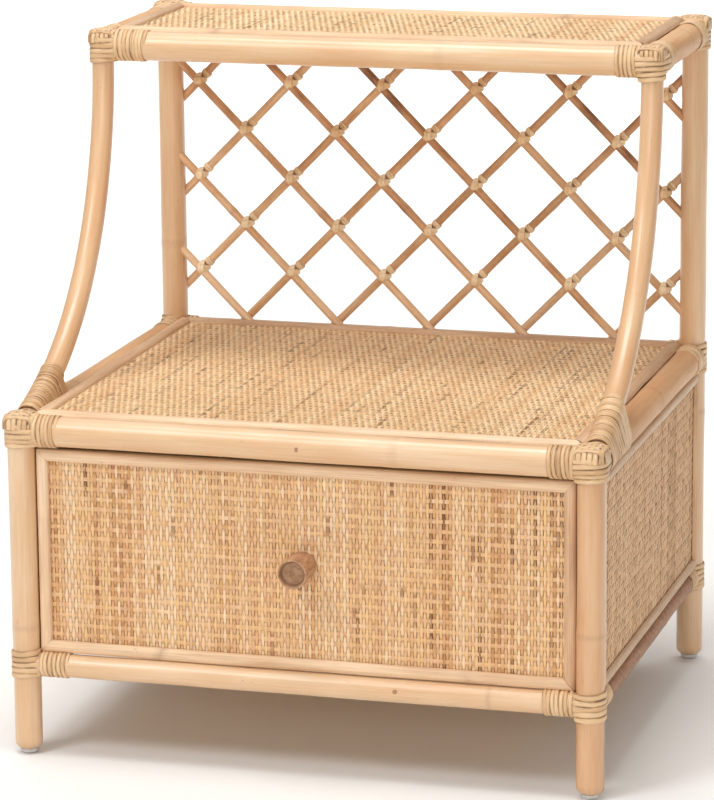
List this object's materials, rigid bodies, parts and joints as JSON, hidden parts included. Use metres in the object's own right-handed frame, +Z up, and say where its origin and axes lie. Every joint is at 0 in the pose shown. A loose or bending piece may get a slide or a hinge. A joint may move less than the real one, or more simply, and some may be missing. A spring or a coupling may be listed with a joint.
{
  "type": "nightstand with drawers",
  "caption": "Rattan nightstand with a woven drawer, woven table top, curved side arms and a raised shelf in front of a diagonal lattice back.",
  "frame": {"origin": "on the floor, under the centre of the bounding box, knob included", "axes": "+X to the right as seen from the front, +Y towards the back, +Z up"},
  "size_m": [0.5262, 0.463, 0.6034],
  "materials": {
    "peeled_rattan": "satin clear lacquer",
    "lattice_rattan": "satin clear lacquer, browner than the poles",
    "split_rattan": "half-round strip, satin",
    "woven_cane": "woven cane strips on board, satin",
    "plywood": "bare plywood",
    "knob_wood": "turned wood, matte",
    "glide_plastic": "matte"
  },
  "bodies": {
    "cabinet": {"front_left_leg": "peeled_rattan", "front_right_leg": "peeled_rattan", "rear_left_post": "peeled_rattan", "rear_right_post": "peeled_rattan", "front_left_glide": "glide_plastic", "front_right_glide": "glide_plastic", "rear_left_glide": "glide_plastic", "rear_right_glide": "glide_plastic", "left_arm": "peeled_rattan", "right_arm": "peeled_rattan", "lower_front_rail": "peeled_rattan", "lower_rear_rail": "peeled_rattan", "lower_left_rail": "peeled_rattan", "lower_right_rail": "peeled_rattan", "table_front_pole": "peeled_rattan", "table_rear_pole": "peeled_rattan", "table_left_pole": "peeled_rattan", "table_right_pole": "peeled_rattan", "shelf_front_pole": "peeled_rattan", "shelf_rear_pole": "peeled_rattan", "shelf_left_pole": "peeled_rattan", "shelf_right_pole": "peeled_rattan", "table_panel": "woven_cane", "table_front_strip": "split_rattan", "table_rear_strip": "split_rattan", "table_left_strip": "split_rattan", "table_right_strip": "split_rattan", "shelf_panel": "woven_cane", "shelf_strip_frame": "split_rattan", "left_side_panel": "woven_cane", "right_side_panel": "woven_cane", "back_panel": "woven_cane", "lattice_front_stick_1": "lattice_rattan", "lattice_front_stick_2": "lattice_rattan", "lattice_front_stick_3": "lattice_rattan", "lattice_front_stick_4": "lattice_rattan", "lattice_front_stick_5": "lattice_rattan", "lattice_front_stick_6": "lattice_rattan", "lattice_front_stick_7": "lattice_rattan", "lattice_front_stick_8": "lattice_rattan", "lattice_back_stick_1": "lattice_rattan", "lattice_back_stick_2": "lattice_rattan", "lattice_back_stick_3": "lattice_rattan", "lattice_back_stick_4": "lattice_rattan", "lattice_back_stick_5": "lattice_rattan", "lattice_back_stick_6": "lattice_rattan", "lattice_back_stick_7": "lattice_rattan", "lattice_back_stick_8": "lattice_rattan", "left_runner": "plywood", "right_runner": "plywood"},
    "drawer": {"drawer_front": "woven_cane", "drawer_top_strip": "split_rattan", "drawer_bottom_strip": "split_rattan", "drawer_left_strip": "split_rattan", "drawer_right_strip": "split_rattan", "drawer_left_side": "plywood", "drawer_right_side": "plywood", "drawer_back": "plywood", "drawer_bottom": "plywood", "drawer_knob": "knob_wood"}
  },
  "joints": [
    {"name": "drawer_slide", "type": "slide", "parent": "cabinet", "child": "drawer", "axis": [0, -1, 0], "range_m": [0, 0.28]}
  ]
}
